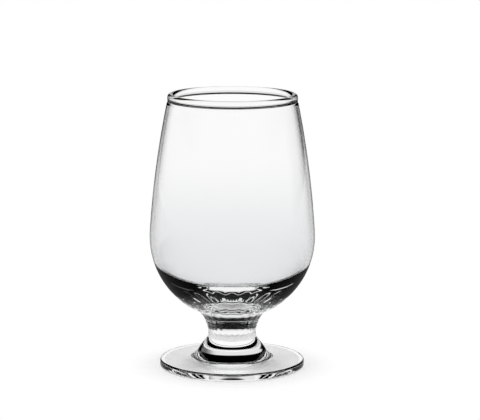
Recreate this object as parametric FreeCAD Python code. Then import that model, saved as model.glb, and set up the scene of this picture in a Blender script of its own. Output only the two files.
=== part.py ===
import FreeCAD, Part
import math
import os

# A clear beer glass, made the way a stemware maker makes it, from three gathers of glass fused
# end to end on one upright axis: a blown bowl with a fire-polished rim, a short solid stem and
# a round foot with a raised boss. Lengths are millimetres, +Z is up, and the glass stands on
# z = 0 with its axis through the origin. Each piece is a section turned about that axis.

# Foot: a disc whose edge is rounded over, a boss that carries the stem, and a hollowed underside
FOOT_DIAMETER = 71.0
FOOT_EDGE_THICKNESS = 3.7
FOOT_EDGE_ROUND = 1.0
FOOT_PLATE_HEIGHT = 5.1
BOSS_DIAMETER = 39.2
BOSS_HEIGHT = 14.6
BOSS_CREASE_DIAMETER = 32.0
BOSS_CREASE_HEIGHT = 9.2
BOSS_SKIRT_DIP = 0.3
RESTING_RING_WIDTH = 1.5
UNDERSIDE_RISE = 1.4

# Stem: a short solid neck, a little waisted, as wide as the boss's top and the bowl's tail
STEM_LENGTH = 7.4
STEM_WAIST_DIAMETER = 23.3
STEM_BOTTOM_DIAMETER = 24.0
STEM_TOP_DIAMETER = 25.6
STEM_WAIST_SHARE = 0.36

# Bowl outside: a ball that would hang just clear of the stem, the flare that joins the two, and
# the wall, which springs from the ball a little above its widest and narrows to the shoulder
TOTAL_HEIGHT = 135.0
BELLY_DIAMETER = 81.0
BALL_LIFT = 2.2
SHOULDER_DIAMETER = 64.0
WALL_SPRING_HEIGHT = 2.6
TAIL_FLARE_RADIUS = 10.0

# Bowl inside: the wall's thickness, and the heavy bottom with its shallow dish and corner round
BELLY_WALL = 1.5
MOUTH_WALL = 1.2
BASE_THICKNESS = 11.5
DISH_RADIUS = 49.5
DISH_CORNER_RADIUS = 15.0

# Rim bead: the thick lip that the flame draws up, rounded at the top, tucked under on the inside
# and set off by a fine groove on the outside
BEAD_DIAMETER = 63.4
BEAD_THICKNESS = 3.35
BEAD_UPRIGHT = 0.6
BEAD_HEIGHT = 4.6
BEAD_GROOVE_DEPTH = 0.35
BEAD_GROOVE_HEIGHT = 0.6

# Turns, in radians
FULL_TURN = 2 * math.pi
HALF_TURN = FULL_TURN / 2
QUARTER_TURN = FULL_TURN / 4
TUCK_TURN = 5 * FULL_TURN / 16

# Heights of the two fused joints, which the neighbours share
STEM_BOTTOM = BOSS_HEIGHT
STEM_TOP = STEM_BOTTOM + STEM_LENGTH


def at(radius, height):
    """A point of a section, in the plane that is turned about the axis."""
    return FreeCAD.Vector(radius, 0, height)


def toward(angle):
    """A unit step in that plane, its angle measured from outward up towards the mouth."""
    return at(math.cos(angle), math.sin(angle))


def angle_of(step):
    return math.atan2(step.z, step.x)


def path(*points):
    """Straight edges from point to point."""
    return [Part.LineSegment(start, end).toShape() for start, end in zip(points, points[1:])]


def arc(centre, radius, start_angle, end_angle):
    """A round about a centre, from one angle to another."""
    angles = (start_angle, (start_angle + end_angle) / 2, end_angle)
    return Part.Arc(*[centre + radius * toward(angle) for angle in angles]).toShape()


def arc_leaving(start, direction, end):
    """The round that leaves the start in a direction and meets the end."""
    chord = end - start
    left = at(-direction.z, direction.x)
    bend = math.atan2(chord.dot(left), chord.dot(direction))
    bulge = at(chord.z, -chord.x) * math.tan(bend / 2) / 2
    return Part.Arc(start, start + chord / 2 + bulge, end).toShape()


def arc_dipping(start, end, dip):
    """The round between two points that lies, at its middle, to the right of their line."""
    chord = end - start
    right = at(chord.z, -chord.x) / chord.Length
    return Part.Arc(start, start + chord / 2 + dip * right, end).toShape()


def turned(edges):
    """The solid that a closed section makes when it is turned about the axis."""
    face = Part.Face(Part.Wire(edges))
    solid = face.revolve(at(0, 0), at(0, 1), math.degrees(FULL_TURN))
    if solid.Volume < 0:
        solid.reverse()
    return solid


def foot():
    outer = FOOT_DIAMETER / 2
    edge = FOOT_EDGE_ROUND
    edge_top = FOOT_EDGE_THICKNESS - edge
    ring_inner = outer - edge - RESTING_RING_WIDTH

    # The boss is a cone down to its crease, then a slightly hollow skirt that meets the plate
    neck = at(STEM_BOTTOM_DIAMETER / 2, BOSS_HEIGHT)
    crease = at(BOSS_CREASE_DIAMETER / 2, BOSS_CREASE_HEIGHT)
    plate_root = at(BOSS_DIAMETER / 2, FOOT_PLATE_HEIGHT)
    plate_rim = at(outer - edge, FOOT_EDGE_THICKNESS)

    # The underside is a shallow dome inside the resting ring
    dome_radius = (ring_inner ** 2 + UNDERSIDE_RISE ** 2) / (2 * UNDERSIDE_RISE)
    dome_angle = math.acos(ring_inner / dome_radius)
    dome_centre = at(0, UNDERSIDE_RISE - dome_radius)

    return turned([
        *path(at(0, BOSS_HEIGHT), neck, crease),
        arc_dipping(crease, plate_root, BOSS_SKIRT_DIP),
        *path(plate_root, plate_rim),
        arc(at(outer - edge, edge_top), edge, QUARTER_TURN, 0),
        *path(at(outer, edge_top), at(outer, edge)),
        arc(at(outer - edge, edge), edge, 0, -QUARTER_TURN),
        *path(at(outer - edge, 0), at(ring_inner, 0)),
        arc(dome_centre, dome_radius, dome_angle, QUARTER_TURN),
        *path(at(0, UNDERSIDE_RISE), at(0, BOSS_HEIGHT)),
    ])


def stem():
    bottom = at(STEM_BOTTOM_DIAMETER / 2, STEM_BOTTOM)
    waist = at(STEM_WAIST_DIAMETER / 2, STEM_BOTTOM + STEM_WAIST_SHARE * STEM_LENGTH)
    top = at(STEM_TOP_DIAMETER / 2, STEM_TOP)
    return turned([
        *path(at(0, STEM_TOP), at(0, STEM_BOTTOM), bottom),
        arc_leaving(waist, toward(-QUARTER_TURN), bottom),
        arc_leaving(waist, toward(QUARTER_TURN), top),
        *path(top, at(0, STEM_TOP)),
    ])


def bowl():
    tail = at(STEM_TOP_DIAMETER / 2, STEM_TOP)
    ball = BELLY_DIAMETER / 2
    ball_centre = at(0, STEM_TOP + BALL_LIFT + ball)
    spring_angle = math.asin(WALL_SPRING_HEIGHT / ball)
    wall_top = at(SHOULDER_DIAMETER / 2, TOTAL_HEIGHT - BEAD_HEIGHT)

    # Outside: the tail's flare touches the ball, and the wall leaves the ball above the belly
    reach = ball_centre - tail
    flare_to_ball = ball + TAIL_FLARE_RADIUS
    along = (TAIL_FLARE_RADIUS ** 2 - flare_to_ball ** 2 + reach.dot(reach)) / (2 * reach.Length)
    aside = math.sqrt(TAIL_FLARE_RADIUS ** 2 - along ** 2)
    flare_centre = tail + (along * reach + aside * at(reach.z, -reach.x)) / reach.Length
    flare_start = angle_of(tail - flare_centre)
    touch_angle = angle_of(flare_centre - ball_centre)
    spring_direction = toward(spring_angle + QUARTER_TURN)
    wall_spring = ball_centre + ball * toward(spring_angle)

    # Inside: a wall within the wall, a ball within the ball, and a dish rounded into that ball
    hollow = ball - BELLY_WALL
    hollow_top = wall_top - at(MOUTH_WALL, 0)
    hollow_spring = ball_centre + hollow * toward(spring_angle)
    bottom = at(0, STEM_TOP + BASE_THICKNESS)
    dish_centre = bottom + at(0, DISH_RADIUS)
    apart = dish_centre.z - ball_centre.z
    to_ball = hollow - DISH_CORNER_RADIUS
    to_dish = DISH_RADIUS - DISH_CORNER_RADIUS
    corner_rise = (to_ball ** 2 - to_dish ** 2 + apart ** 2) / (2 * apart)
    corner_centre = ball_centre + at(math.sqrt(to_ball ** 2 - corner_rise ** 2), corner_rise)
    corner_angle = angle_of(corner_centre - ball_centre)
    dish_angle = angle_of(corner_centre - dish_centre)

    # Bead: upright between a full round on top and a round below that turns under on the inside
    lip = BEAD_THICKNESS / 2
    lip_top = at(BEAD_DIAMETER / 2 - lip, TOTAL_HEIGHT - lip)
    lip_bottom = lip_top - at(0, BEAD_UPRIGHT)
    tuck_angle = HALF_TURN + TUCK_TURN
    groove = wall_top + at(-BEAD_GROOVE_DEPTH, BEAD_GROOVE_HEIGHT)

    return turned([
        *path(bottom, at(0, STEM_TOP), tail),
        arc(flare_centre, TAIL_FLARE_RADIUS, flare_start, touch_angle + HALF_TURN),
        arc(ball_centre, ball, touch_angle, spring_angle),
        arc_leaving(wall_spring, spring_direction, wall_top),
        *path(wall_top, groove, lip_bottom + at(lip, 0), lip_top + at(lip, 0)),
        arc(lip_top, lip, 0, HALF_TURN),
        *path(lip_top - at(lip, 0), lip_bottom - at(lip, 0)),
        arc(lip_bottom, lip, HALF_TURN, tuck_angle),
        *path(lip_bottom + lip * toward(tuck_angle), hollow_top),
        arc_leaving(hollow_spring, spring_direction, hollow_top),
        arc(ball_centre, hollow, spring_angle, corner_angle),
        arc(corner_centre, DISH_CORNER_RADIUS, corner_angle, dish_angle),
        arc(dish_centre, DISH_RADIUS, dish_angle, -QUARTER_TURN),
    ])


def write(name, shape):
    shape.exportStep("parts/" + name + ".step")
    print(name, "valid", shape.isValid(), "solids", len(shape.Solids), "volume", round(shape.Volume, 1))


os.makedirs("parts", exist_ok=True)
write("bowl", bowl())
write("stem", stem())
write("foot", foot())
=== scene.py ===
import math

import bpy
from mathutils import Matrix, Vector


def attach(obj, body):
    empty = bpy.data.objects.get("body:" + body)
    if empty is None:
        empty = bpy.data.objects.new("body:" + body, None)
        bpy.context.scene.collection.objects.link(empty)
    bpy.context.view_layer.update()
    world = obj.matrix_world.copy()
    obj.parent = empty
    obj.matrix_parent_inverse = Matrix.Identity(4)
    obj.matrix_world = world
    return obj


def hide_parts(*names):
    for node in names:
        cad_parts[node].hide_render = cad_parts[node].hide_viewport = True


# A clear stemmed beer glass, dressed from the same dimensions as its solids: the bowl, the stem
# and the foot are turned again here as fine meshes. One unit is a metre, +Z is up, and the glass
# stands on z = 0 with its axis through the origin.
MM = 0.001

# Foot
FOOT_DIAMETER = 71.0 * MM
FOOT_EDGE_THICKNESS = 3.7 * MM
FOOT_EDGE_ROUND = 1.0 * MM
FOOT_PLATE_HEIGHT = 5.1 * MM
BOSS_DIAMETER = 39.2 * MM
BOSS_HEIGHT = 14.6 * MM
BOSS_CREASE_DIAMETER = 32.0 * MM
BOSS_CREASE_HEIGHT = 9.2 * MM
BOSS_SKIRT_DIP = 0.3 * MM
RESTING_RING_WIDTH = 1.5 * MM
UNDERSIDE_RISE = 1.4 * MM

# Stem
STEM_LENGTH = 7.4 * MM
STEM_WAIST_DIAMETER = 23.3 * MM
STEM_BOTTOM_DIAMETER = 24.0 * MM
STEM_TOP_DIAMETER = 25.6 * MM
STEM_WAIST_SHARE = 0.36

# Bowl outside
TOTAL_HEIGHT = 135.0 * MM
BELLY_DIAMETER = 81.0 * MM
BALL_LIFT = 2.2 * MM
SHOULDER_DIAMETER = 64.0 * MM
WALL_SPRING_HEIGHT = 2.6 * MM
TAIL_FLARE_RADIUS = 10.0 * MM

# Bowl inside
BELLY_WALL = 1.5 * MM
MOUTH_WALL = 1.2 * MM
BASE_THICKNESS = 11.5 * MM
DISH_RADIUS = 49.5 * MM
DISH_CORNER_RADIUS = 15.0 * MM

# Rim bead
BEAD_DIAMETER = 63.4 * MM
BEAD_THICKNESS = 3.35 * MM
BEAD_UPRIGHT = 0.6 * MM
BEAD_HEIGHT = 4.6 * MM
BEAD_GROOVE_DEPTH = 0.35 * MM
BEAD_GROOVE_HEIGHT = 0.6 * MM

# Turns, in radians
FULL_TURN = 2 * math.pi
HALF_TURN = FULL_TURN / 2
QUARTER_TURN = FULL_TURN / 4
TUCK_TURN = 5 * FULL_TURN / 16

# Heights of the two fused joints, which the neighbours share
STEM_BOTTOM = BOSS_HEIGHT
STEM_TOP = STEM_BOTTOM + STEM_LENGTH

# Shallow ripples that run down the stem and the bowl's tail, left from drawing the hot glass.
# Glass nearer the axis than the core stays plain.
RIPPLES = 24
RIPPLE_DEPTH = 0.15 * MM
RIPPLE_BOTTOM = STEM_BOTTOM + 0.4 * MM
RIPPLE_TOP = STEM_TOP + 15.0 * MM
RIPPLE_FADE = 4.0 * MM
RIPPLE_CORE = 0.9 * STEM_TOP_DIAMETER / 2

# Fineness of the meshes: segments around the axis, and the longest steps along a section
SEGMENTS = 288
ROUND_STEP = math.radians(5)
LONGEST_STEP = 0.95 * MM
MERGE_DISTANCE = 0.0005 * MM
SHARP_ANGLE = math.radians(35)

# Glass: its colour, how much light passes into its shadow, and how finely uneven it is
GLASS_IOR = 1.52
SPECULAR = (0.1, 0.1, 0.1, 1)
FOOT_CLEAR = (0.975, 0.976, 0.978, 1)
STEM_CLEAR = (0.92, 0.922, 0.925, 1)
WALL_CLEAR = (0.978, 0.978, 0.978, 1)
FOOT_SHADOW = 0.95
STEM_SHADOW = 0.9
BOWL_SHADOW = 0.985
WAVE_SIZE = 12.0 * MM
WAVE_DEPTH = 0.02 * MM
GLASS_ROUGHNESS = 0.012

# The bowl's wall, with painted shade: greyer at the full-shade height and below, clear at the clear
# height and above
LOW_WALL_PAINTED_SHADE = (0.897, 0.9, 0.908, 1)
SHADE_FULL_HEIGHT = STEM_TOP + 33.0 * MM
CLEAR_HEIGHT = TOTAL_HEIGHT - 30.0 * MM

# Painted shade where the wall is seen edge on, which grows from the low to the high height. The
# start and the end are the shares of light that the surface mirrors.
EDGE_PAINTED_SHADE = (0.28, 0.28, 0.28, 1)
EDGE_LOW = STEM_TOP + 28.0 * MM
EDGE_HIGH = TOTAL_HEIGHT - 20.0 * MM
EDGE_START = 0.12
EDGE_END = 0.55

# Patches of unevenness: the part of the noise's range that nearly all of it lies in
PATCH_LOW = 0.3
PATCH_HIGH = 0.7
PATCH_DETAIL = 2.0

# Floor: a matt disc that takes the glass's shadow and turns to plain white further out. Glass shows
# the white from nearer by, which is painted light: under the glass, the floor glows white where
# only light through the glass reaches it.
FLOOR_RADIUS = 1150.0 * MM
FLOOR_SIDES = 96
FLOOR_COLOUR = (0.9, 0.9, 0.9, 1)
FLOOR_SMOOTHEST = 0.7
FLOOR_ROUGHEST = 0.9
FLOOR_GRAIN = 3.0 * MM
FLOOR_DEPTH = 0.02 * MM
MATT_RADIUS = FOOT_DIAMETER / 2 + 0.5 * MM
WHITE_RADIUS = MATT_RADIUS + 16.0 * MM
NEARER_IN_GLASS_PAINTED_LIGHT = 30.0 * MM

# Painted reflection: where the floor is mirrored, it is white on a strip across its middle and
# nearly black beside it, like side cards
STRIP_HALF = 20.0 * MM
STRIP_FADE = 30.0 * MM
STRIP_PAINTED_DARK = 0.88

# Sky, in heights from 0 at the horizon to 1 overhead: its white goes up to the low height, and
# above the high one it is black. Where glass mirrors the sky behind, the white reaches further.
WHITE = (1, 1, 1, 1)
SKY_WHITE = (0.8, 0.8, 0.8, 1)
SKY_LOW = 0.085
SKY_HIGH = 0.12
MIRROR_LOW = 0.30
MIRROR_HIGH = 0.40
BEHIND_FADE = 0.3

# Mirrored sky behind the glass: black beside a middle strip. The slope says how many times
# further back than aside a direction has to point for that.
SKY_STRIP_HALF = 0.10
SKY_STRIP_FADE = 0.03
SKY_STRIP_SLOPE = 1.2

# Dark card behind on the right. Far and near say how nearly a direction points its way, from 0
# to 1, where the card's shade starts and is full, and the last is the white that it leaves.
CARD_AZIMUTH = math.radians(52)
CARD_FAR = 0.80
CARD_NEAR = 0.95
CARD_WHITE = 0.12

# Light box in front, its sides in the same measure and its bottom and top as sky heights
BOX_AZIMUTH = HALF_TURN
BOX_FAR = 0.35
BOX_NEAR = 0.75
BOX_BOTTOM = 0.06
BOX_BOTTOM_FULL = 0.12
BOX_TOP_FULL = 0.25
BOX_TOP = 0.40
BOX_STRENGTH = 1.4

# Lamp overhead, which casts the soft shadow
LAMP_PLACE = Vector((0, 100, 1000)) * MM
LAMP_DIAMETER = 2400.0 * MM
LAMP_POWER = 30

# Camera: where it stands, where it looks and its lens
CAMERA_PLACE = Vector((0, -1100, 270.8)) * MM
CAMERA_PITCH = 0.1738
CAMERA_YAW = 0.0034
CAMERA_ROLL = 0.003
CAMERA_NEAREST = 10.0 * MM
LENS = 171.2
SENSOR_WIDTH = 36

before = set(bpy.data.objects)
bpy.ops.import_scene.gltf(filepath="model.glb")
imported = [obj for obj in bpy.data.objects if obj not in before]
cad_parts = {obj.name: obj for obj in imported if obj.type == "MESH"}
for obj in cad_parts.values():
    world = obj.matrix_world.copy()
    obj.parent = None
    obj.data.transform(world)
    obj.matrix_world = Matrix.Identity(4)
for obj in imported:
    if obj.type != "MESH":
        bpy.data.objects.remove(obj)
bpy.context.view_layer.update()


def at(radius, height):
    """A point of a section: its distance from the axis and its height."""
    return Vector((radius, height))


def toward(angle):
    """A unit step in a section, its angle measured from outward up towards the mouth."""
    return at(math.cos(angle), math.sin(angle))


def angle_of(step):
    return math.atan2(step.y, step.x)


def path(*points):
    """Points along straight runs, close enough together for an even mesh."""
    found = []
    for start, end in zip(points, points[1:]):
        count = max(1, math.ceil((end - start).length / LONGEST_STEP))
        found += [start.lerp(end, i / count) for i in range(count + 1)]
    return found


def arc(centre, radius, start_angle, end_angle):
    """Points along a round about a centre."""
    step = min(ROUND_STEP, LONGEST_STEP / radius)
    count = max(1, math.ceil(abs(end_angle - start_angle) / step))
    turn = (end_angle - start_angle) / count
    return [centre + radius * toward(start_angle + i * turn) for i in range(count + 1)]


def arc_leaving(start, direction, end):
    """Points along the round that leaves the start in a direction and meets the end."""
    chord = end - start
    left = at(-direction.y, direction.x)
    radius = chord.dot(chord) / (2 * chord.dot(left))
    centre = start + radius * left
    start_angle = angle_of(start - centre)
    sweep = 2 * math.atan2(chord.dot(left), chord.dot(direction))
    return arc(centre, abs(radius), start_angle, start_angle + sweep)


def arc_dipping(start, end, dip):
    """Points along the round between two points that lies to the right of their line."""
    chord = end - start
    half = chord.length / 2
    radius = (half ** 2 + dip ** 2) / (2 * dip)
    left = at(-chord.y, chord.x) / chord.length
    centre = start + chord / 2 + left * (radius - dip)
    start_angle = angle_of(start - centre)
    return arc(centre, radius, start_angle, start_angle + 4 * math.atan2(dip, half))


def foot_section():
    outer = FOOT_DIAMETER / 2
    edge = FOOT_EDGE_ROUND
    edge_top = FOOT_EDGE_THICKNESS - edge
    ring_inner = outer - edge - RESTING_RING_WIDTH

    # The boss is a cone down to its crease, then a slightly hollow skirt that meets the plate
    neck = at(STEM_BOTTOM_DIAMETER / 2, BOSS_HEIGHT)
    crease = at(BOSS_CREASE_DIAMETER / 2, BOSS_CREASE_HEIGHT)
    plate_root = at(BOSS_DIAMETER / 2, FOOT_PLATE_HEIGHT)
    plate_rim = at(outer - edge, FOOT_EDGE_THICKNESS)

    # The underside is a shallow dome inside the resting ring
    dome_radius = (ring_inner ** 2 + UNDERSIDE_RISE ** 2) / (2 * UNDERSIDE_RISE)
    dome_angle = math.acos(ring_inner / dome_radius)
    dome_centre = at(0, UNDERSIDE_RISE - dome_radius)

    return [
        *path(at(0, BOSS_HEIGHT), neck, crease),
        *arc_dipping(crease, plate_root, BOSS_SKIRT_DIP),
        *path(plate_root, plate_rim),
        *arc(at(outer - edge, edge_top), edge, QUARTER_TURN, 0),
        *path(at(outer, edge_top), at(outer, edge)),
        *arc(at(outer - edge, edge), edge, 0, -QUARTER_TURN),
        *path(at(outer - edge, 0), at(ring_inner, 0)),
        *arc(dome_centre, dome_radius, dome_angle, QUARTER_TURN),
    ]


def stem_section():
    bottom = at(STEM_BOTTOM_DIAMETER / 2, STEM_BOTTOM)
    waist = at(STEM_WAIST_DIAMETER / 2, STEM_BOTTOM + STEM_WAIST_SHARE * STEM_LENGTH)
    top = at(STEM_TOP_DIAMETER / 2, STEM_TOP)
    return [
        *path(at(0, STEM_TOP), top),
        *reversed(arc_leaving(waist, toward(QUARTER_TURN), top)),
        *arc_leaving(waist, toward(-QUARTER_TURN), bottom),
        *path(bottom, at(0, STEM_BOTTOM)),
    ]


def bowl_section():
    tail = at(STEM_TOP_DIAMETER / 2, STEM_TOP)
    ball = BELLY_DIAMETER / 2
    ball_centre = at(0, STEM_TOP + BALL_LIFT + ball)
    spring_angle = math.asin(WALL_SPRING_HEIGHT / ball)
    wall_top = at(SHOULDER_DIAMETER / 2, TOTAL_HEIGHT - BEAD_HEIGHT)

    # Outside: the tail's flare touches the ball, and the wall leaves the ball above the belly
    reach = ball_centre - tail
    flare_to_ball = ball + TAIL_FLARE_RADIUS
    along = (TAIL_FLARE_RADIUS ** 2 - flare_to_ball ** 2 + reach.dot(reach)) / (2 * reach.length)
    aside = math.sqrt(TAIL_FLARE_RADIUS ** 2 - along ** 2)
    flare_centre = tail + (along * reach + aside * at(reach.y, -reach.x)) / reach.length
    flare_start = angle_of(tail - flare_centre)
    touch_angle = angle_of(flare_centre - ball_centre)
    spring_direction = toward(spring_angle + QUARTER_TURN)
    wall_spring = ball_centre + ball * toward(spring_angle)

    # Inside: a wall within the wall, a ball within the ball, and a dish rounded into that ball
    hollow = ball - BELLY_WALL
    hollow_top = wall_top - at(MOUTH_WALL, 0)
    hollow_spring = ball_centre + hollow * toward(spring_angle)
    dish_centre = at(0, STEM_TOP + BASE_THICKNESS + DISH_RADIUS)
    apart = dish_centre.y - ball_centre.y
    to_ball = hollow - DISH_CORNER_RADIUS
    to_dish = DISH_RADIUS - DISH_CORNER_RADIUS
    corner_rise = (to_ball ** 2 - to_dish ** 2 + apart ** 2) / (2 * apart)
    corner_centre = ball_centre + at(math.sqrt(to_ball ** 2 - corner_rise ** 2), corner_rise)
    corner_angle = angle_of(corner_centre - ball_centre)
    dish_angle = angle_of(corner_centre - dish_centre)

    # Bead: upright between a full round on top and a round below that turns under on the inside
    lip = BEAD_THICKNESS / 2
    lip_top = at(BEAD_DIAMETER / 2 - lip, TOTAL_HEIGHT - lip)
    lip_bottom = lip_top - at(0, BEAD_UPRIGHT)
    tuck_angle = HALF_TURN + TUCK_TURN
    groove = wall_top + at(-BEAD_GROOVE_DEPTH, BEAD_GROOVE_HEIGHT)

    return [
        *arc(dish_centre, DISH_RADIUS, -QUARTER_TURN, dish_angle),
        *arc(corner_centre, DISH_CORNER_RADIUS, dish_angle, corner_angle),
        *arc(ball_centre, hollow, corner_angle, spring_angle),
        *arc_leaving(hollow_spring, spring_direction, hollow_top),
        *path(hollow_top, lip_bottom + lip * toward(tuck_angle)),
        *arc(lip_bottom, lip, tuck_angle, HALF_TURN),
        *arc(lip_top, lip, HALF_TURN, 0),
        *path(lip_bottom + at(lip, 0), groove, wall_top),
        *reversed(arc_leaving(wall_spring, spring_direction, wall_top)),
        *arc(ball_centre, ball, spring_angle, touch_angle),
        *arc(flare_centre, TAIL_FLARE_RADIUS, touch_angle + HALF_TURN, flare_start),
        *path(tail, at(0, STEM_TOP)),
    ]


def ripple(point, angle):
    """How far a section's point moves out at an angle round the axis."""
    if point.x < RIPPLE_CORE or not RIPPLE_BOTTOM < point.y < RIPPLE_TOP:
        return 0.0
    to_end = min(point.y - RIPPLE_BOTTOM, RIPPLE_TOP - point.y)
    fade = min(1, to_end / RIPPLE_FADE)
    return -RIPPLE_DEPTH * fade * math.cos(RIPPLES * (angle + QUARTER_TURN))


def turned(point, angle):
    """A section's point, turned about the axis by an angle."""
    radius = point.x + ripple(point, angle)
    return (radius * math.cos(angle), radius * math.sin(angle), point.y)


def lathe_faces(rings):
    """Faces between that many rings of points, and fans from the end rings to the axis."""
    faces = []
    last_ring = 1 + (rings - 1) * SEGMENTS
    last_point = 1 + rings * SEGMENTS
    for i in range(SEGMENTS):
        j = (i + 1) % SEGMENTS
        faces.append((0, 1 + i, 1 + j))
        for ring in range(1, last_ring, SEGMENTS):
            following = ring + SEGMENTS
            faces.append((ring + i, following + i, following + j, ring + j))
        faces.append((last_ring + i, last_point, last_ring + j))
    return faces


def lies_at(mesh, face, height):
    """Whether a face lies flat at a height."""
    return all(abs(mesh.vertices[i].co.z - height) < MERGE_DISTANCE for i in face.vertices)


def lathe(name, section, materials, joints):
    """A closed mesh that turns a section, listed from axis to axis, about the upright axis.

    Faces that lie flat at the height of a fused joint take the second material.
    """
    points = [section[0]]
    for point in section[1:]:
        if (point - points[-1]).length > MERGE_DISTANCE:
            points.append(point)
    first, *rings, last = points
    angles = [FULL_TURN * i / SEGMENTS for i in range(SEGMENTS)]
    around = [turned(point, angle) for point in rings for angle in angles]

    mesh = bpy.data.meshes.new(name)
    mesh.from_pydata([(0, 0, first.y), *around, (0, 0, last.y)], [], lathe_faces(len(rings)))
    for material in materials:
        mesh.materials.append(material)
    for face in mesh.polygons:
        face.use_smooth = True
        face.material_index = int(any(lies_at(mesh, face, height) for height in joints))
    mesh.set_sharp_from_angle(angle=SHARP_ANGLE)
    return add_to_scene(name, mesh)


def add_to_scene(name, data):
    made = bpy.data.objects.new(name, data)
    bpy.context.scene.collection.objects.link(made)
    return made


def node(tree, kind, **values):
    """A new shader node with its sockets set by name."""
    made = tree.nodes.new(kind)
    for name, value in values.items():
        made.inputs[name.replace("_", " ")].default_value = value
    return made


def feed(tree, socket, value):
    """Give a socket another node's output or a plain value."""
    if isinstance(value, bpy.types.NodeSocket):
        tree.links.new(value, socket)
    else:
        socket.default_value = value


def maths(tree, operation, *values):
    made = tree.nodes.new("ShaderNodeMath")
    made.operation = operation
    for socket, value in zip(made.inputs, values):
        feed(tree, socket, value)
    return made.outputs[0]


def product(tree, first, *others):
    for other in others:
        first = maths(tree, "MULTIPLY", first, other)
    return first


def ramp(tree, value, low, high, start=0.0, end=1.0, kind="LINEAR"):
    """A number that goes from start to end while the value goes from low to high."""
    made = node(tree, "ShaderNodeMapRange",
                From_Min=low, From_Max=high, To_Min=start, To_Max=end)
    made.interpolation_type = kind
    tree.links.new(value, made.inputs["Value"])
    return made.outputs[0]


def smooth(tree, value, low, high, start=0.0, end=1.0):
    """A ramp that leaves both its ends gently."""
    return ramp(tree, value, low, high, start, end, "SMOOTHSTEP")


def blend(tree, share, first, second):
    """A colour between two, at a share of the way from the first to the second."""
    made = tree.nodes.new("ShaderNodeMix")
    made.data_type = "RGBA"
    tree.links.new(share, made.inputs["Factor"])
    colours = [socket for socket in made.inputs if socket.type == "RGBA"]
    for socket, colour in zip(colours, (first, second)):
        feed(tree, socket, colour)
    return next(socket for socket in made.outputs if socket.type == "RGBA")


def mix_shaders(tree, share, first, second):
    made = tree.nodes.new("ShaderNodeMixShader")
    for socket, source in zip(made.inputs, (share, first.outputs[0], second.outputs[0])):
        tree.links.new(source, socket)
    return made


def object_place(tree):
    """Where a point of a piece lies, in the piece's own coordinates."""
    return tree.nodes.new("ShaderNodeTexCoord").outputs["Object"]


def split_axes(tree, vector):
    """The X, Y and Z of a vector, by name."""
    made = tree.nodes.new("ShaderNodeSeparateXYZ")
    tree.links.new(vector, made.inputs[0])
    return made.outputs


def make_uneven(tree, shader, size, smoothest, roughest, depth):
    """Give a shader soft patches of roughness of about one size, and a slight unevenness."""
    noise = node(tree, "ShaderNodeTexNoise", Scale=1 / size, Detail=PATCH_DETAIL)
    bump = node(tree, "ShaderNodeBump", Strength=1.0, Distance=depth)
    height = noise.outputs["Fac"]
    roughness = smooth(tree, height, PATCH_LOW, PATCH_HIGH, smoothest, roughest)
    tree.links.new(object_place(tree), noise.inputs["Vector"])
    tree.links.new(height, bump.inputs["Height"])
    tree.links.new(roughness, shader.inputs["Roughness"])
    tree.links.new(bump.outputs["Normal"], shader.inputs["Normal"])


def new_material(name):
    material = bpy.data.materials.new(name)
    material.use_nodes = True
    material.node_tree.nodes.clear()
    return material, material.node_tree


def set_surface(tree, kind, shader):
    output = tree.nodes.new(kind)
    tree.links.new(shader.outputs[0], output.inputs["Surface"])


def wall_colour_with_painted_shade(tree):
    """The bowl's colour with painted shade: greyer low down, dark where its upper wall is seen edge
    on.
    """
    height = split_axes(tree, object_place(tree))["Z"]
    mirrored = node(tree, "ShaderNodeFresnel", IOR=GLASS_IOR).outputs[0]
    # Painted shade: the wall is greyer low down
    unshaded_share = smooth(tree, height, SHADE_FULL_HEIGHT, CLEAR_HEIGHT)
    base = blend(tree, unshaded_share, LOW_WALL_PAINTED_SHADE, WALL_CLEAR)
    # Painted shade: darker where the upper wall is seen edge on
    edge = ramp(tree, mirrored, EDGE_START, EDGE_END)
    upper = ramp(tree, height, EDGE_LOW, EDGE_HIGH)
    return blend(tree, product(tree, upper, edge), base, EDGE_PAINTED_SHADE)


def glass_material(name, colour, shadow, with_painted_shade):
    """Clear glass whose shadow lets light through. With painted shade, it takes the bowl wall's
    colour and its painted shade.
    """
    material, tree = new_material(name)
    body = node(tree, "ShaderNodeBsdfPrincipled", IOR=GLASS_IOR, Transmission_Weight=1.0,
                Base_Color=colour, Specular_Tint=SPECULAR)
    make_uneven(tree, body, WAVE_SIZE, 0.0, GLASS_ROUGHNESS, WAVE_DEPTH)
    # The bowl's glass takes painted shade in its colour
    if with_painted_shade:
        tree.links.new(wall_colour_with_painted_shade(tree), body.inputs["Base Color"])
    clear = node(tree, "ShaderNodeBsdfTransparent", Color=(shadow, shadow, shadow, 1))
    rays = tree.nodes.new("ShaderNodeLightPath")
    glass = mix_shaders(tree, rays.outputs["Is Shadow Ray"], body, clear)
    set_surface(tree, "ShaderNodeOutputMaterial", glass)
    return material


def joint_material():
    """Nothing to see: the glass of two neighbours is fused there."""
    material, tree = new_material("fused_joint")
    clear = node(tree, "ShaderNodeBsdfTransparent", Color=WHITE)
    set_surface(tree, "ShaderNodeOutputMaterial", clear)
    return material


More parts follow.
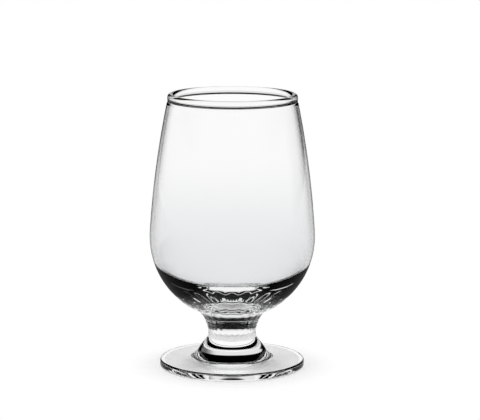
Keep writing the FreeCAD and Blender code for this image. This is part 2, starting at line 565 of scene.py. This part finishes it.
def floor_material():
    """Matt near the glass and plain white further out, with a painted dark reflection beside a
    middle strip.
    """
    material, tree = new_material("white_floor")
    place = object_place(tree)
    rays = tree.nodes.new("ShaderNodeLightPath").outputs
    matt = node(tree, "ShaderNodeBsdfDiffuse", Color=FLOOR_COLOUR)
    make_uneven(tree, matt, FLOOR_GRAIN, FLOOR_SMOOTHEST, FLOOR_ROUGHEST, FLOOR_DEPTH)

    # Painted reflection: mirrored, the floor is dark beside a middle strip
    across = maths(tree, "ABSOLUTE", split_axes(tree, place)["X"])
    beside = smooth(tree, across, STRIP_HALF, STRIP_HALF + STRIP_FADE)
    dark = product(tree, beside, STRIP_PAINTED_DARK, rays["Is Reflection Ray"])
    white = node(tree, "ShaderNodeEmission", Color=WHITE)
    tree.links.new(maths(tree, "SUBTRACT", 1.0, dark), white.inputs["Strength"])

    distance = tree.nodes.new("ShaderNodeVectorMath")
    distance.operation = "LENGTH"
    tree.links.new(place, distance.inputs[0])
    # Painted light: seen through glass, the floor glows white nearer the axis
    in_glass = maths(tree, "MAXIMUM", rays["Is Glossy Ray"], rays["Is Transmission Ray"])
    nearer = maths(tree, "MULTIPLY", in_glass, NEARER_IN_GLASS_PAINTED_LIGHT)
    reach = maths(tree, "ADD", distance.outputs["Value"], nearer)
    floor = mix_shaders(tree, ramp(tree, reach, MATT_RADIUS, WHITE_RADIUS), matt, white)
    set_surface(tree, "ShaderNodeOutputMaterial", floor)
    return material


def make_floor():
    angles = [FULL_TURN * i / FLOOR_SIDES for i in range(FLOOR_SIDES)]
    ring = [(FLOOR_RADIUS * math.cos(angle), FLOOR_RADIUS * math.sin(angle), 0) for angle in angles]
    mesh = bpy.data.meshes.new("floor")
    mesh.from_pydata(ring, [], [tuple(range(FLOOR_SIDES))])
    mesh.materials.append(floor_material())
    floor = add_to_scene("floor", mesh)


def toward_azimuth(tree, direction, azimuth):
    """How far a direction points the way of an azimuth, from -1 to 1."""
    dot = tree.nodes.new("ShaderNodeVectorMath")
    dot.operation = "DOT_PRODUCT"
    dot.inputs[1].default_value = (math.sin(azimuth), math.cos(azimuth), 0)
    tree.links.new(direction, dot.inputs[0])
    return dot.outputs["Value"]


def horizon_light(tree, direction, axes, mirror):
    """The white of the low sky, less the dark card and the dark sides of its mirror image."""
    height = axes["Z"]
    behind = smooth(tree, toward_azimuth(tree, direction, 0), 0.0, BEHIND_FADE)
    higher = smooth(tree, height, MIRROR_LOW, MIRROR_HIGH, 1.0, 0.0)
    low = smooth(tree, height, SKY_LOW, SKY_HIGH, 1.0, 0.0)
    white = maths(tree, "MAXIMUM", low, product(tree, higher, behind, mirror))
    card = toward_azimuth(tree, direction, CARD_AZIMUTH)
    beyond_card = smooth(tree, card, CARD_FAR, CARD_NEAR, 1.0, CARD_WHITE)

    across = maths(tree, "ABSOLUTE", axes["X"])
    beside = smooth(tree, across, SKY_STRIP_HALF, SKY_STRIP_HALF + SKY_STRIP_FADE)
    slope = maths(tree, "MULTIPLY", across, SKY_STRIP_SLOPE)
    sector = maths(tree, "GREATER_THAN", axes["Y"], slope)
    dark = product(tree, beside, sector, mirror)
    return product(tree, white, beyond_card, maths(tree, "SUBTRACT", 1.0, dark))


def box_light(tree, direction, height):
    """The light box in front of the glass."""
    front = smooth(tree, toward_azimuth(tree, direction, BOX_AZIMUTH), BOX_FAR, BOX_NEAR)
    above = smooth(tree, height, BOX_BOTTOM, BOX_BOTTOM_FULL)
    below = smooth(tree, height, BOX_TOP_FULL, BOX_TOP, 1.0, 0.0)
    return product(tree, front, above, below, BOX_STRENGTH)


def make_world():
    """A dark studio with a white horizon, plain white where the camera sees it."""
    world = bpy.data.worlds.new("studio")
    bpy.context.scene.world = world
    world.use_nodes = True
    tree = world.node_tree
    tree.nodes.clear()
    direction = tree.nodes.new("ShaderNodeTexCoord").outputs["Generated"]
    axes = split_axes(tree, direction)
    rays = tree.nodes.new("ShaderNodeLightPath").outputs
    horizon = horizon_light(tree, direction, axes, rays["Is Reflection Ray"])
    box = box_light(tree, direction, axes["Z"])
    studio = node(tree, "ShaderNodeBackground", Color=SKY_WHITE)
    tree.links.new(maths(tree, "ADD", horizon, box), studio.inputs["Strength"])
    white = node(tree, "ShaderNodeBackground", Color=WHITE, Strength=1.0)
    both = mix_shaders(tree, rays["Is Camera Ray"], studio, white)
    set_surface(tree, "ShaderNodeOutputWorld", both)


def make_lamp():
    data = bpy.data.lights.new("overhead", "AREA")
    data.shape = "DISK"
    data.size = LAMP_DIAMETER
    data.energy = LAMP_POWER
    lamp = add_to_scene("overhead", data)
    lamp.location = LAMP_PLACE
    lamp.rotation_euler = (-LAMP_PLACE).to_track_quat("-Z", "Y").to_euler()
    lamp.visible_glossy = False
    lamp.visible_transmission = False
    lamp.visible_camera = False


def make_camera():
    data = bpy.data.cameras.new("camera")
    data.lens = LENS
    data.sensor_width = SENSOR_WIDTH
    data.sensor_fit = "HORIZONTAL"
    data.clip_start = CAMERA_NEAREST
    camera = add_to_scene("camera", data)
    level = math.cos(CAMERA_PITCH)
    down = math.sin(CAMERA_PITCH)
    aim = Vector((math.sin(CAMERA_YAW) * level, math.cos(CAMERA_YAW) * level, -down))
    turn = aim.to_track_quat("-Z", "Y").to_matrix().to_4x4()
    roll = Matrix.Rotation(CAMERA_ROLL, 4, "Z")
    camera.matrix_world = Matrix.Translation(CAMERA_PLACE) @ turn @ roll
    bpy.context.scene.camera = camera


fused = joint_material()
for name, section, joints, colour, shadow in (
    ("bowl", bowl_section(), [STEM_TOP], WALL_CLEAR, BOWL_SHADOW),
    ("stem", stem_section(), [STEM_BOTTOM, STEM_TOP], STEM_CLEAR, STEM_SHADOW),
    ("foot", foot_section(), [STEM_BOTTOM], FOOT_CLEAR, FOOT_SHADOW),
):
    glass = glass_material(name + "_clear_glass", colour, shadow, name == "bowl")
    piece = lathe(name + "_glass", section, [glass, fused], joints)
    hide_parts(name)
    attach(piece, "root")

make_floor()
make_world()
make_lamp()
make_camera()
bpy.context.scene.view_settings.view_transform = "Standard"
